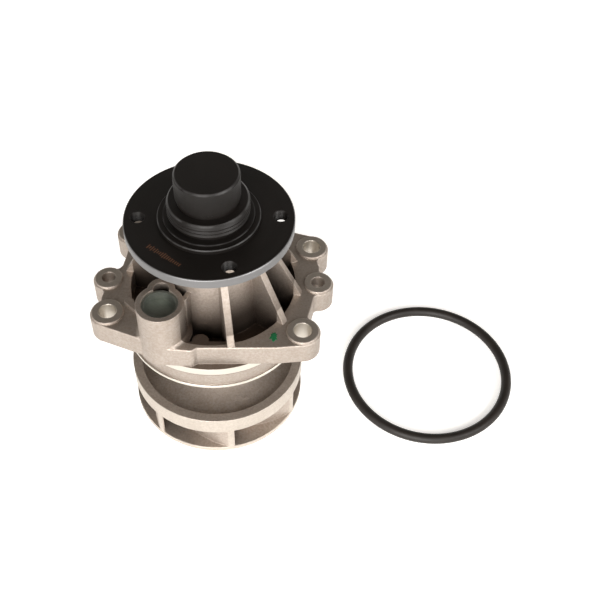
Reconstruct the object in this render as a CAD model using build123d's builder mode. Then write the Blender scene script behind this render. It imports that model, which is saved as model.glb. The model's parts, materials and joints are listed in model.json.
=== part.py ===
from build123d import *
from math import cos, degrees, hypot, log, pi, radians, sin, tan
import os

os.makedirs("parts", exist_ok=True)

# Coolant pump with a pulley flange and a fan-clutch nose, in millimetres.
# The shaft axis is Z. z = 0 is the mounting face, and +Z points to the nose.

# ---- fits and clearances
RUN_FIT = 0.05
ROLL_FIT = 0.03
FACE_GAP = 0.03
STACK_GAP = 0.5
CUT_OVER = 1.0
PICK_TOL = 0.01

# ---- mounting plate of the housing
PLATE_T = 8.8
PLATE_EDGE_R = 0.5
CORNER_R = 1.6
STUD_PCD = 79.0
STUD_ANGLES = (30.5, 147.3, 207.9, 329.5)
STUD_HOLE_D = 6.4
STUD_BOSS_WALL = 2.55
EAR_LEDGE = 0.45
JACK_PCD = 75.6
JACK_ANGLES = (4.1, 184.1)
JACK_TAP_D = 5.0
JACK_BOSS_WALL = 2.6
LOBE_LEDGE = 0.5
BOSS_RISE = 0.8
BOSS_CHAMFER = 0.3
NECK_R = (39.3, 34.4, 40.5, 37.2)
NECK_ANGLES = (16.0, 172.0, 197.3, 346.2)
EDGE_DIST = 30.7
EDGE_TILT = 6.2
EDGE_HALF = 22.0
EDGE_FRONT_LEFT = 8.0
EDGE_CORNER_R = 3.0
KNUCKLE_R = 2.5
KNUCKLE_INSET = 0.5
KNUCKLE_ANGLE = 262.5

# ---- pocket round the bearing tower
POCKET_R = 29.6
POCKET_FRONT_WALL = 3.0
POCKET_FLOOR_Z = 1.0
PAD_R = 3.0
PAD_ANGLE = 268.8

# ---- pilot under the plate
PILOT_D = 66.5
PILOT_DEPTH = 11.2
PILOT_LAND = 3.1
PILOT_LIP = 1.5
PILOT_RELIEF = 0.7
PILOT_WALL = 3.6
PILOT_CHAMFER = 0.4
CAVITY_DEPTH = 6.6

# ---- bearing tower and ribs
TOWER_TOP_Z = 35.0
TOWER_WALL = 3.0
TOWER_FLARE = 2.2
TOWER_CHAMFER = 0.6
RIB_T = 2.5
RIB_DROP = 0.8
RIB_STEP = 1.4
RIB_LAP = 2.6
RIB_ANGLES = (26.0, 60.0, 100.0, 140.0, 174.5, 329.0, 355.8)
FRONT_RIB_ANGLE = 289.4
FRONT_RIB_STEP = 3.8
FRONT_RIB_LAP = 3.4
FIN_ANGLE = 253.5
FIN_T = 1.6
FIN_R = 21.8
FIN_DROP = 0.8
WEB_T = 3.0
WEB_RISE = 1.4
WEB_END = (-28.2, -13.4)

# ---- drain chamber beside the tower, closed by a pressed cup
CHAMBER_AT = (-14.1, -24.7)
CHAMBER_WALL = 1.85
CHAMBER_PROUD = 0.3
CHAMBER_BORE_D = 12.7
CHAMBER_TOP_Z = 23.6
CHAMBER_FLOOR_Z = 4.0
CHAMBER_FOOT_R = 2.0
VENT_AT = (-14.6, -18.3)
VENT_WALL = 2.0
VENT_BORE_D = 5.5
VENT_FLOOR_Z = -2.5
PLUG_H = 4.2
PLUG_SINK = 0.7
PLUG_T = 0.8
WEEP_D = 2.6
WEEP_Z = -1.3

# ---- integral shaft bearing
SHAFT_D = 15.9
SHAFT_CHAMFER = 0.7
RACE_D = 30.0
RACE_WALL = 2.53
RACE_END_Z = 0.3
RACE_PROUD = 0.2
RACE_CHAMFER = 0.5
RACE_LEDGE = 1.8
BALL_SINK = 0.49
BALL_PITCH = 1.45
BALL_ROW_DOWN = 8.7
ROLLER_L = 9.0
ROLLER_PITCH = 1.42
ROLLER_ROW_UP = 11.2
CAGE_FILL = 0.53
CAGE_RIM = 1.4
POCKET_PLAY = 0.08
LIP_SEAL_T = 1.6
LIP_SEAL_SINK = 0.6
LIP_SEAL_SEAT = 0.45

# ---- hub: flange, pulley pilot, thread and nose
FLANGE_GAP = 2.4
FLANGE_D = 58.0
FLANGE_T = 3.9
FLANGE_CHAMFER = 0.4
HUB_SKIRT_WALL = 3.05
HUB_SKIRT_DROP = 0.9
PULLEY_PILOT_D = 35.0
PULLEY_PILOT_H = 1.5
COLLAR_STEP = 1.5
COLLAR_H = 0.6
EDGE_BREAK = 0.3
RELIEF_H = 1.0
THREAD_D = 28.0
THREAD_L = 5.7
THREAD_RELIEF = 1.1
THREAD_CHAMFER = 0.8
NOSE_D = 22.0
NOSE_L = 11.0
NOSE_CHAMFER = 0.7
NOSE_RELIEF = 0.5
NOSE_RELIEF_H = 1.4
NOSE_CAP = 5.3
HUB_TAP_D = 4.2
HUB_TAP_MOUTH_D = 5.3
HUB_TAP_CONE = 90
HUB_TAP_PCD = 48.2
HUB_TAP_ANGLES = (6.7, 113.7, 186.7, 293.7)
SHIELD_LIP = 4.45
SHIELD_T = 0.8
SHIELD_BELOW = 0.1

# ---- face seal, stationary side, from the shaft outwards and from the shoulder down
BELLOWS_GAP = 1.25
BELLOWS_T = 1.0
BELLOWS_CLAMP_T = 2.2
BELLOWS_CLAMP_H = 2.4
BELLOWS_WAVE = 1.0
BELLOWS_WAVE_H = 3.6
BELLOWS_SLEEVE_H = 2.0
BELLOWS_COLLAR_H = 1.6
CARBON_T = 3.0
CARBON_BODY_H = 1.8
CARBON_NOSE_H = 1.5
CARBON_NOSE_IN = 0.6
CARBON_NOSE_OUT = 0.7
BAND_T = 0.6
BAND_RIM = 1.6
BAND_LIFT = 0.2
SPRING_WIRE_R = 0.45
SPRING_GAP = 0.4
SPRING_TURNS = 4
SEAL_SHOULDER_Z = -3.0
SEAL_SIDE_GAP = 0.6
SEAL_BOSS_WALL = 4.0
CASE_T = 0.6
CASE_HOLE = 0.8
CASE_RIM = 2.2
SLINGER_GAP = 2.0
SLINGER_T = 1.0
SLINGER_TOP_Z = -1.0

# ---- face seal, rotating side
SEAT_T = 3.4
SEAT_GAP = 1.65
SEAT_LAP = 0.7
CUP_WALL = 1.2
CUP_BACK = 1.2
CUP_LIP_SINK = 0.9

# ---- impeller
IMPELLER_D = 66.2
IMPELLER_GAP = 21.3
IMPELLER_H = 20.1
BAND_H = 7.3
RIM_T = 3.4
RIM_RECESS = 3.6
RIM_DRAFT = 0.5
SHROUD_T = 2.0
EYE_R = 17.0
EYE_LIP_CHAMFER = 0.6
IMPELLER_HUB_WALL = 3.85
IMPELLER_HUB_LIFT = 8.6
HUB_LEDGE = 0.5
SHAFT_PROUD = 0.5
HUB_FLARE = 1.2
DISH_RISE = 3.6
DISH_MID_RISE = 1.0
DISH_T = 2.6
VANE_COUNT = 7
VANE_T = 1.4
VANE_ANGLE = 24.0
VANE_TIP_AT = 288.0
VANE_OVERHANG = 0.6
VANE_STATIONS = 8

# ---- O-ring, lying on the surface the pump stands on
O_RING_STRETCH = 4.5
O_RING_T = 4.0
O_RING_AT = (84.1, 11.9)

# ---- sizes that follow from the ones above
STUD_BOSS_R = STUD_HOLE_D / 2 + STUD_BOSS_WALL
EAR_R = STUD_BOSS_R + EAR_LEDGE
JACK_BOSS_R = JACK_TAP_D / 2 + JACK_BOSS_WALL
JACK_LOBE_R = JACK_BOSS_R + LOBE_LEDGE
BOSS_TOP_Z = PLATE_T + BOSS_RISE
POCKET_FRONT = EDGE_DIST - POCKET_FRONT_WALL
PILOT_R = PILOT_D / 2
RELIEF_R = PILOT_R - PILOT_RELIEF
LIP_Z = PILOT_LIP - PILOT_DEPTH
CHAMBER_R = CHAMBER_BORE_D / 2 + CHAMBER_WALL
VENT_R = VENT_BORE_D / 2 + VENT_WALL
WEB_TOP_Z = PLATE_T + WEB_RISE

SHAFT_R = SHAFT_D / 2
RACE_R = RACE_D / 2
RACE_BORE_R = RACE_R - RACE_WALL
RACE_TOP_Z = TOWER_TOP_Z + RACE_PROUD
WEEP_RING_R = RACE_R - RACE_LEDGE
ROW_R = (SHAFT_R + RACE_BORE_R) / 2
ROW_HALF = (RACE_BORE_R - SHAFT_R) / 2
ROLLER_R = ROW_HALF - ROLL_FIT
BALL_R = ROW_HALF + BALL_SINK
BALL_GROOVE_R = BALL_R + RUN_FIT
BALL_COUNT = int(pi * ROW_R / (BALL_R * BALL_PITCH))
ROLLER_COUNT = int(pi * ROW_R / (ROLLER_R * ROLLER_PITCH))
BALL_ROW_Z = RACE_TOP_Z - BALL_ROW_DOWN
ROLLER_ROW_Z = RACE_END_Z + ROLLER_ROW_UP
CAGE_IN_R = ROW_R - CAGE_FILL * ROW_HALF
CAGE_OUT_R = ROW_R + CAGE_FILL * ROW_HALF
LIP_SEAT_R = RACE_BORE_R + LIP_SEAL_SEAT
LIP_SEAT_H = LIP_SEAL_SINK + LIP_SEAL_T

TOWER_TOP_R = RACE_R + TOWER_WALL
TOWER_FOOT_R = TOWER_TOP_R + TOWER_FLARE
RIB_TOP_Z = TOWER_TOP_Z - RIB_DROP
RIBS = [(angle, POCKET_R + RIB_LAP, TOWER_TOP_R + RIB_STEP) for angle in RIB_ANGLES]
RIBS.append((FRONT_RIB_ANGLE, POCKET_FRONT + FRONT_RIB_LAP, TOWER_TOP_R + FRONT_RIB_STEP))

FLANGE_R = FLANGE_D / 2
PULLEY_PILOT_R = PULLEY_PILOT_D / 2
THREAD_R = THREAD_D / 2
COLLAR_R = THREAD_R + COLLAR_STEP
NOSE_R = NOSE_D / 2
HUB_SKIRT_R = SHAFT_R + HUB_SKIRT_WALL
FLANGE_UNDER_Z = TOWER_TOP_Z + FLANGE_GAP
SKIRT_Z = FLANGE_UNDER_Z - HUB_SKIRT_DROP
FLANGE_TOP_Z = FLANGE_UNDER_Z + FLANGE_T
PILOT_TOP_Z = FLANGE_TOP_Z + PULLEY_PILOT_H
COLLAR_TOP_Z = PILOT_TOP_Z + COLLAR_H
THREAD_END_Z = COLLAR_TOP_Z + RELIEF_H
THREAD_TOP_Z = THREAD_END_Z + THREAD_L
NOSE_TOP_Z = THREAD_TOP_Z + NOSE_L
SHAFT_TOP_Z = NOSE_TOP_Z - NOSE_CAP

BELLOWS_IN_R = SHAFT_R + BELLOWS_GAP
CARBON_R = BELLOWS_IN_R + CARBON_T
BAND_RIM_R = CARBON_R + BAND_RIM
SPRING_R = CARBON_R + SPRING_GAP + SPRING_WIRE_R
CASE_IN_R = BAND_RIM_R + SEAL_SIDE_GAP
SEAL_BORE_R = CASE_IN_R + CASE_T
SEAL_BOSS_R = SEAL_BORE_R + SEAL_BOSS_WALL
CASE_TOP_IN_Z = SEAL_SHOULDER_Z - CASE_T
CLAMP_Z = CASE_TOP_IN_Z - BELLOWS_CLAMP_H
WAVE_END_Z = CLAMP_Z - BELLOWS_WAVE_H
COLLAR_Z = WAVE_END_Z - BELLOWS_SLEEVE_H
CARBON_TOP_Z = COLLAR_Z - BELLOWS_COLLAR_H
CARBON_STEP_Z = CARBON_TOP_Z - CARBON_BODY_H
CARBON_FACE_Z = CARBON_STEP_Z - CARBON_NOSE_H
BAND_TOP_Z = COLLAR_Z + BAND_LIFT
SLINGER_R = WEEP_RING_R - SLINGER_GAP
SEAT_IN_R = SHAFT_R + SEAT_GAP
SEAT_OUT_R = CARBON_R + SEAT_LAP
SEAT_FACE_Z = CARBON_FACE_Z - FACE_GAP
SEAT_BACK_Z = SEAT_FACE_Z - SEAT_T
CUP_R = SEAT_OUT_R + CUP_WALL
CUP_BACK_Z = SEAT_BACK_Z - CUP_BACK

IMPELLER_R = IMPELLER_D / 2
IMPELLER_RIM_R = IMPELLER_R - RIM_T
IMPELLER_RIM_TOP_Z = -PILOT_DEPTH - IMPELLER_GAP
IMPELLER_BASE_Z = IMPELLER_RIM_TOP_Z - IMPELLER_H
IMPELLER_BAND_Z = IMPELLER_RIM_TOP_Z - BAND_H
IMPELLER_HUB_R = SHAFT_R + IMPELLER_HUB_WALL
IMPELLER_HUB_TOP_R = CUP_R + HUB_LEDGE
IMPELLER_HUB_END_Z = IMPELLER_BASE_Z + IMPELLER_HUB_LIFT
SHAFT_END_Z = IMPELLER_HUB_END_Z - SHAFT_PROUD
RECESS_R = IMPELLER_RIM_R - RIM_DRAFT
RECESS_Z = IMPELLER_RIM_TOP_Z - RIM_RECESS
SHROUD_TOP_Z = IMPELLER_BASE_Z + SHROUD_T
VANE_IN_R = EYE_R - VANE_OVERHANG
O_RING_ID = 2 * RELIEF_R - O_RING_STRETCH


def polar(radius, angle):
    return (radius * cos(radians(angle)), radius * sin(radians(angle)))


def turned(x, y, angle):
    across, up = cos(radians(angle)), sin(radians(angle))
    return (x * across - y * up, x * up + y * across)


def save(builder, name):
    builder.part.label = name
    export_step(builder.part, f"parts/{name}.step")


def hull(*circles):
    with BuildSketch() as outline:
        for centre, radius in circles:
            with Locations(centre):
                Circle(radius)
        make_hull()
    return outline.sketch


def turned_ring(name, profile):
    """A ring turned about Z from an (r, z) profile, saved under its name."""
    with BuildPart() as ring:
        with BuildSketch(Plane.XZ):
            with BuildLine():
                Polyline(*profile, close=True)
            make_face()
        revolve(axis=Axis.Z)
    save(ring, name)
    return ring


# ==== housing: plate, pilot, tower, ribs and drain chamber in one casting
studs = [polar(STUD_PCD / 2, angle) for angle in STUD_ANGLES]
jacks = [polar(JACK_PCD / 2, angle) for angle in JACK_ANGLES]
necks = [polar(radius, angle) for radius, angle in zip(NECK_R, NECK_ANGLES)]
corner_dist = EDGE_DIST - EDGE_CORNER_R
knuckle = polar(EDGE_DIST - KNUCKLE_INSET, KNUCKLE_ANGLE)
corners = (
    (studs[3], turned(EDGE_HALF, -corner_dist, EDGE_TILT)),
    (studs[0], turned(EDGE_HALF, corner_dist, -EDGE_TILT)),
    (studs[1], turned(-EDGE_HALF, corner_dist, -EDGE_TILT)),
)
lobes = [hull((stud, EAR_R), (corner, EDGE_CORNER_R)) for stud, corner in corners]
lobes.append(hull((studs[2], EAR_R), (CHAMBER_AT, EAR_R)))
lobes.append(hull((CHAMBER_AT, CHAMBER_R - CHAMBER_PROUD), (knuckle, KNUCKLE_R)))

with BuildSketch() as plate_outline:
    with BuildLine():
        Polyline(studs[0], studs[1], necks[1], jacks[1], necks[2], studs[2], studs[3],
                 necks[3], jacks[0], necks[0], close=True)
    make_face()
    with Locations(studs):
        Circle(EAR_R)
    with Locations(jacks):
        Circle(JACK_LOBE_R)
    with Locations(Rot(0, 0, EDGE_TILT)):
        Rectangle(EDGE_HALF, EDGE_DIST, align=(Align.MIN, Align.MAX))
        Rectangle(EDGE_FRONT_LEFT, EDGE_DIST, align=(Align.MAX, Align.MAX))
    with Locations(Rot(0, 0, -EDGE_TILT)):
        Rectangle(2 * EDGE_HALF, EDGE_DIST, align=(Align.CENTER, Align.MIN))
    add(lobes)
    offset(amount=CORNER_R)
    offset(amount=-CORNER_R)

with BuildSketch() as pocket_outline:
    Circle(POCKET_R)
    with Locations(Rot(0, 0, EDGE_TILT) * Pos(0, -POCKET_FRONT)):
        Rectangle(2 * POCKET_R, POCKET_R, align=(Align.CENTER, Align.MAX), mode=Mode.SUBTRACT)
    with Locations(polar(POCKET_FRONT, PAD_ANGLE)):
        Circle(PAD_R, mode=Mode.SUBTRACT)

# the casting's fillet round the foot of the drain chamber, as far as the plate reaches
foot_r = CHAMBER_R + CHAMBER_FOOT_R
foot_z = PLATE_T + CHAMBER_FOOT_R
skin_r = CHAMBER_R - CHAMBER_PROUD
with BuildPart() as foot:
    with BuildSketch(Plane(CHAMBER_AT, x_dir=(1, 0, 0), z_dir=(0, -1, 0))):
        with BuildLine():
            Polyline((0, 0), (foot_r, 0), (foot_r, PLATE_T))
            RadiusArc((foot_r, PLATE_T), (skin_r, foot_z), CHAMBER_FOOT_R)
            Polyline((skin_r, foot_z), (0, foot_z), (0, 0))
        make_face()
    revolve(axis=Axis((*CHAMBER_AT, 0), (0, 0, 1)))
    with BuildSketch():
        add(plate_outline.sketch)
        offset(amount=-PLATE_EDGE_R)
    extrude(amount=PLATE_T + CHAMBER_FOOT_R, mode=Mode.INTERSECT)

with BuildPart() as housing:
    add(extrude(plate_outline.sketch, PLATE_T))
    fillet(housing.faces().sort_by(Axis.Z)[-1].edges(), PLATE_EDGE_R)
    with BuildSketch(Plane.XY.offset(POCKET_FLOOR_Z)):
        add(pocket_outline.sketch)
    extrude(amount=PLATE_T, mode=Mode.SUBTRACT)
    with BuildSketch(Plane.XZ):
        with BuildLine():
            Polyline((0, 0), (PILOT_R, 0), (PILOT_R, -PILOT_LAND), (RELIEF_R, -PILOT_LAND), (RELIEF_R, LIP_Z),
                     (PILOT_R, LIP_Z), (PILOT_R, PILOT_CHAMFER - PILOT_DEPTH),
                     (PILOT_R - PILOT_CHAMFER, -PILOT_DEPTH), (0, -PILOT_DEPTH), close=True)
        make_face()
    revolve(axis=Axis.Z)
    with BuildSketch(Plane.XZ):
        with BuildLine():
            Polyline((0, 0), (TOWER_FOOT_R, 0), (TOWER_TOP_R, TOWER_TOP_Z - TOWER_CHAMFER),
                     (TOWER_TOP_R - TOWER_CHAMFER, TOWER_TOP_Z), (0, TOWER_TOP_Z), close=True)
        make_face()
    revolve(axis=Axis.Z)
    for angle, foot_r, top_r in RIBS:
        with BuildSketch(Plane.XZ.rotated((0, 0, angle))):
            with BuildLine():
                Polyline((RACE_R, 0), (foot_r, 0), (foot_r, PLATE_T), (top_r, RIB_TOP_Z), (RACE_R, RIB_TOP_Z),
                         close=True)
            make_face()
        extrude(amount=RIB_T / 2, both=True)
    with BuildSketch():
        with Locations(studs):
            Circle(STUD_BOSS_R)
        with Locations(jacks):
            Circle(JACK_BOSS_R)
    extrude(amount=BOSS_TOP_Z)
    boss_rims = housing.edges().filter_by(GeomType.CIRCLE)
    chamfer(boss_rims.filter_by_position(Axis.Z, BOSS_TOP_Z - PICK_TOL, BOSS_TOP_Z + PICK_TOL), BOSS_CHAMFER)
    with BuildSketch():
        with Locations(CHAMBER_AT):
            Circle(CHAMBER_R)
        with Locations(VENT_AT):
            Circle(VENT_R)
    extrude(amount=CHAMBER_TOP_Z)
    add(extrude(hull((CHAMBER_AT, WEB_T / 2), (WEB_END, WEB_T / 2)), WEB_TOP_Z))
    add(extrude(hull((polar(RACE_R, FIN_ANGLE), FIN_T / 2), (polar(FIN_R, FIN_ANGLE), FIN_T / 2)),
                CHAMBER_TOP_Z - FIN_DROP))
    add(foot.part)
    # underside: drained cavity between the pilot wall and the seal boss
    with BuildSketch(Plane.XY.offset(-PILOT_DEPTH)):
        Circle(PILOT_R - PILOT_WALL)
        Circle(SEAL_BOSS_R, mode=Mode.SUBTRACT)
    extrude(amount=CAVITY_DEPTH, mode=Mode.SUBTRACT)
    # bores for the bearing, the weep ring and the face seal
    with BuildSketch(Plane.XZ):
        with BuildLine():
            Polyline((0, TOWER_TOP_Z + CUT_OVER), (RACE_R, TOWER_TOP_Z + CUT_OVER), (RACE_R, RACE_END_Z),
                     (WEEP_RING_R, RACE_END_Z), (WEEP_RING_R, SEAL_SHOULDER_Z),
                     (SEAL_BORE_R, SEAL_SHOULDER_Z), (SEAL_BORE_R, -PILOT_DEPTH - CUT_OVER),
                     (0, -PILOT_DEPTH - CUT_OVER), close=True)
        make_face()
    revolve(axis=Axis.Z, mode=Mode.SUBTRACT)
    # holes for the studs and the jacking screws
    with Locations(*[(x, y, BOSS_TOP_Z) for x, y in studs]):
        Hole(STUD_HOLE_D / 2, BOSS_TOP_Z + CUT_OVER)
    with Locations(*[(x, y, BOSS_TOP_Z) for x, y in jacks]):
        Hole(JACK_TAP_D / 2, BOSS_TOP_Z + CUT_OVER)
    # drain chamber, its vent and the weep passage from the shaft
    with Locations((*CHAMBER_AT, CHAMBER_TOP_Z)):
        Hole(CHAMBER_BORE_D / 2, CHAMBER_TOP_Z - CHAMBER_FLOOR_Z)
    with Locations((*VENT_AT, CHAMBER_TOP_Z)):
        Hole(VENT_BORE_D / 2, CHAMBER_TOP_Z - VENT_FLOOR_Z)
    with BuildSketch(Plane((0, 0, WEEP_Z), z_dir=(*VENT_AT, 0))):
        Circle(WEEP_D / 2)
    extrude(amount=hypot(*VENT_AT), mode=Mode.SUBTRACT)
save(housing, "housing")

# ==== chamber plug: drawn cup pressed into the drain chamber, open side up
with BuildPart() as chamber_plug:
    plug_floor_z = CHAMBER_TOP_Z - PLUG_SINK - PLUG_H
    with BuildSketch(Plane.XY.offset(plug_floor_z)):
        with Locations(CHAMBER_AT):
            Circle(CHAMBER_BORE_D / 2)
    extrude(amount=PLUG_H)
    fillet(chamber_plug.faces().sort_by(Axis.Z)[0].edges(), PLUG_T)
    with BuildSketch(Plane.XY.offset(plug_floor_z + PLUG_T)):
        with Locations(CHAMBER_AT):
            Circle(CHAMBER_BORE_D / 2 - PLUG_T)
    extrude(amount=PLUG_H, mode=Mode.SUBTRACT)
save(chamber_plug, "chamber_plug")

# ==== bearing outer race
with BuildPart() as race:
    with BuildSketch(Plane.XZ):
        with BuildLine():
            Polyline((LIP_SEAT_R, RACE_END_Z), (RACE_R - RACE_CHAMFER, RACE_END_Z),
                     (RACE_R, RACE_END_Z + RACE_CHAMFER), (RACE_R, RACE_TOP_Z - RACE_CHAMFER),
                     (RACE_R - RACE_CHAMFER, RACE_TOP_Z), (LIP_SEAT_R, RACE_TOP_Z),
                     (LIP_SEAT_R, RACE_TOP_Z - LIP_SEAT_H), (RACE_BORE_R, RACE_TOP_Z - LIP_SEAT_H),
                     (RACE_BORE_R, RACE_END_Z + LIP_SEAT_H), (LIP_SEAT_R, RACE_END_Z + LIP_SEAT_H),
                     close=True)
        make_face()
        with Locations((ROW_R, BALL_ROW_Z)):
            Circle(BALL_GROOVE_R, mode=Mode.SUBTRACT)
    revolve(axis=Axis.Z)
save(race, "bearing_outer_race")

# ==== lip seals at both ends of the bearing
lip_seals = (
    ("bearing_seal_front", RACE_TOP_Z - LIP_SEAT_H),
    ("bearing_seal_rear", RACE_END_Z + LIP_SEAL_SINK),
)
for name, low_z in lip_seals:
    turned_ring(name, ((SHAFT_R + RUN_FIT, low_z), (LIP_SEAT_R, low_z), (LIP_SEAT_R, low_z + LIP_SEAL_T),
                       (SHAFT_R + RUN_FIT, low_z + LIP_SEAL_T)))

# ==== ball row
with BuildPart() as balls:
    with Locations(Pos(0, 0, BALL_ROW_Z)):
        with PolarLocations(ROW_R, BALL_COUNT):
            Sphere(BALL_R)
save(balls, "bearing_balls")

with BuildPart() as ball_cage:
    ball_cage_h = 2 * (BALL_R + CAGE_RIM)
    with BuildSketch(Plane.XY.offset(BALL_ROW_Z - ball_cage_h / 2)):
        Circle(CAGE_OUT_R)
        Circle(CAGE_IN_R, mode=Mode.SUBTRACT)
    extrude(amount=ball_cage_h)
    with Locations(Pos(0, 0, BALL_ROW_Z)):
        with PolarLocations(ROW_R, BALL_COUNT):
            Cylinder(BALL_R + POCKET_PLAY, 2 * BALL_R, rotation=(0, 90, 0), mode=Mode.SUBTRACT)
save(ball_cage, "ball_cage")

# ==== roller row
with BuildPart() as rollers:
    with Locations(Pos(0, 0, ROLLER_ROW_Z)):
        with PolarLocations(ROW_R, ROLLER_COUNT):
            Cylinder(ROLLER_R, ROLLER_L)
save(rollers, "bearing_rollers")

with BuildPart() as roller_cage:
    roller_cage_h = ROLLER_L + 2 * CAGE_RIM
    with BuildSketch(Plane.XY.offset(ROLLER_ROW_Z - roller_cage_h / 2)):
        Circle(CAGE_OUT_R)
        Circle(CAGE_IN_R, mode=Mode.SUBTRACT)
    extrude(amount=roller_cage_h)
    with Locations(Pos(0, 0, ROLLER_ROW_Z)):
        with PolarLocations(ROW_R, ROLLER_COUNT):
            Box(2 * ROW_HALF, 2 * (ROLLER_R + POCKET_PLAY), ROLLER_L + 2 * POCKET_PLAY, mode=Mode.SUBTRACT)
save(roller_cage, "roller_cage")

# ==== shaft, with the inner race of the ball row ground into it
with BuildPart() as shaft:
    with BuildSketch(Plane.XZ):
        with BuildLine():
            Polyline((0, SHAFT_END_Z), (SHAFT_R - SHAFT_CHAMFER, SHAFT_END_Z),
                     (SHAFT_R, SHAFT_END_Z + SHAFT_CHAMFER), (SHAFT_R, SHAFT_TOP_Z - SHAFT_CHAMFER),
                     (SHAFT_R - SHAFT_CHAMFER, SHAFT_TOP_Z), (0, SHAFT_TOP_Z), close=True)
        make_face()
        with Locations((ROW_R, BALL_ROW_Z)):
            Circle(BALL_GROOVE_R, mode=Mode.SUBTRACT)
    revolve(axis=Axis.Z)
save(shaft, "shaft")

# ==== hub: flange, pulley pilot, fan-clutch thread and nose
with BuildPart() as hub:
    with BuildSketch(Plane.XZ):
        with BuildLine():
            Polyline((0, SHAFT_TOP_Z + STACK_GAP), (SHAFT_R, SHAFT_TOP_Z + STACK_GAP), (SHAFT_R, SKIRT_Z),
                     (HUB_SKIRT_R, SKIRT_Z), (HUB_SKIRT_R, FLANGE_UNDER_Z),
                     (FLANGE_R - FLANGE_CHAMFER, FLANGE_UNDER_Z), (FLANGE_R, FLANGE_UNDER_Z + FLANGE_CHAMFER),
                     (FLANGE_R, FLANGE_TOP_Z - FLANGE_CHAMFER), (FLANGE_R - FLANGE_CHAMFER, FLANGE_TOP_Z),
                     (PULLEY_PILOT_R, FLANGE_TOP_Z), (PULLEY_PILOT_R, PILOT_TOP_Z - EDGE_BREAK),
                     (PULLEY_PILOT_R - EDGE_BREAK, PILOT_TOP_Z), (COLLAR_R, PILOT_TOP_Z),
                     (COLLAR_R, COLLAR_TOP_Z), (THREAD_R - THREAD_RELIEF, COLLAR_TOP_Z),
                     (THREAD_R - THREAD_RELIEF, THREAD_END_Z), (THREAD_R - THREAD_CHAMFER, THREAD_END_Z),
                     (THREAD_R, THREAD_END_Z + THREAD_CHAMFER), (THREAD_R, THREAD_TOP_Z - THREAD_CHAMFER),
                     (THREAD_R - THREAD_CHAMFER, THREAD_TOP_Z), (NOSE_R - NOSE_RELIEF, THREAD_TOP_Z),
                     (NOSE_R - NOSE_RELIEF, THREAD_TOP_Z + NOSE_RELIEF_H),
                     (NOSE_R, THREAD_TOP_Z + NOSE_RELIEF_H + NOSE_RELIEF),
                     (NOSE_R, NOSE_TOP_Z - NOSE_CHAMFER), (NOSE_R - NOSE_CHAMFER, NOSE_TOP_Z),
                     (0, NOSE_TOP_Z), close=True)
        make_face()
    revolve(axis=Axis.Z)
    with Locations(*[(*polar(HUB_TAP_PCD / 2, angle), FLANGE_TOP_Z) for angle in HUB_TAP_ANGLES]):
        CounterSinkHole(HUB_TAP_D / 2, HUB_TAP_MOUTH_D / 2, FLANGE_T + CUT_OVER,
                        counter_sink_angle=HUB_TAP_CONE)
save(hub, "hub_flange")

# ==== dust shield on the shaft above the bearing, and water slinger below it
shield_low_z = SKIRT_Z - SHIELD_BELOW - SHIELD_T
shield_r = SHAFT_R + SHIELD_LIP
turned_ring("dust_shield", ((SHAFT_R, shield_low_z), (shield_r, shield_low_z),
                            (shield_r, shield_low_z + SHIELD_T), (SHAFT_R, shield_low_z + SHIELD_T)))
turned_ring("water_slinger", ((SHAFT_R, SLINGER_TOP_Z - SLINGER_T), (SLINGER_R, SLINGER_TOP_Z - SLINGER_T),
                              (SLINGER_R, SLINGER_TOP_Z), (SHAFT_R, SLINGER_TOP_Z)))

# ==== face seal, stationary side: case, bellows, band, spring and carbon ring
hole_r = BELLOWS_IN_R + CASE_HOLE
rim_r = SEAL_BORE_R + CASE_RIM
rim_z = -PILOT_DEPTH - CASE_T
turned_ring("seal_case", ((hole_r, SEAL_SHOULDER_Z), (SEAL_BORE_R, SEAL_SHOULDER_Z),
                          (SEAL_BORE_R, -PILOT_DEPTH), (rim_r, -PILOT_DEPTH), (rim_r, rim_z),
                          (CASE_IN_R, rim_z), (CASE_IN_R, CASE_TOP_IN_Z), (hole_r, CASE_TOP_IN_Z)))

wave_z = CLAMP_Z - BELLOWS_WAVE_H / 2
clamp_r = BELLOWS_IN_R + BELLOWS_CLAMP_T
sleeve_r = BELLOWS_IN_R + BELLOWS_T
turned_ring("seal_bellows", ((BELLOWS_IN_R, CASE_TOP_IN_Z), (clamp_r, CASE_TOP_IN_Z), (clamp_r, CLAMP_Z),
                             (sleeve_r, CLAMP_Z), (sleeve_r + BELLOWS_WAVE, wave_z), (sleeve_r, WAVE_END_Z),
                             (sleeve_r, COLLAR_Z), (CARBON_R, COLLAR_Z), (CARBON_R, CARBON_TOP_Z),
                             (BELLOWS_IN_R, CARBON_TOP_Z), (BELLOWS_IN_R, WAVE_END_Z),
                             (BELLOWS_IN_R + BELLOWS_WAVE, wave_z), (BELLOWS_IN_R, CLAMP_Z)))

turned_ring("seal_band", ((CARBON_R, BAND_TOP_Z), (BAND_RIM_R, BAND_TOP_Z), (BAND_RIM_R, BAND_TOP_Z - BAND_T),
                          (CARBON_R + BAND_T, BAND_TOP_Z - BAND_T), (CARBON_R + BAND_T, CARBON_STEP_Z),
                          (CARBON_R, CARBON_STEP_Z)))

nose_in_r = BELLOWS_IN_R + CARBON_NOSE_IN
nose_out_r = CARBON_R - CARBON_NOSE_OUT
turned_ring("seal_carbon_ring", ((BELLOWS_IN_R, CARBON_TOP_Z), (CARBON_R, CARBON_TOP_Z),
                                 (CARBON_R, CARBON_STEP_Z),
                                 (nose_out_r, CARBON_STEP_Z), (nose_out_r, CARBON_FACE_Z),
                                 (nose_in_r, CARBON_FACE_Z), (nose_in_r, CARBON_STEP_Z),
                                 (BELLOWS_IN_R, CARBON_STEP_Z)))

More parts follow.
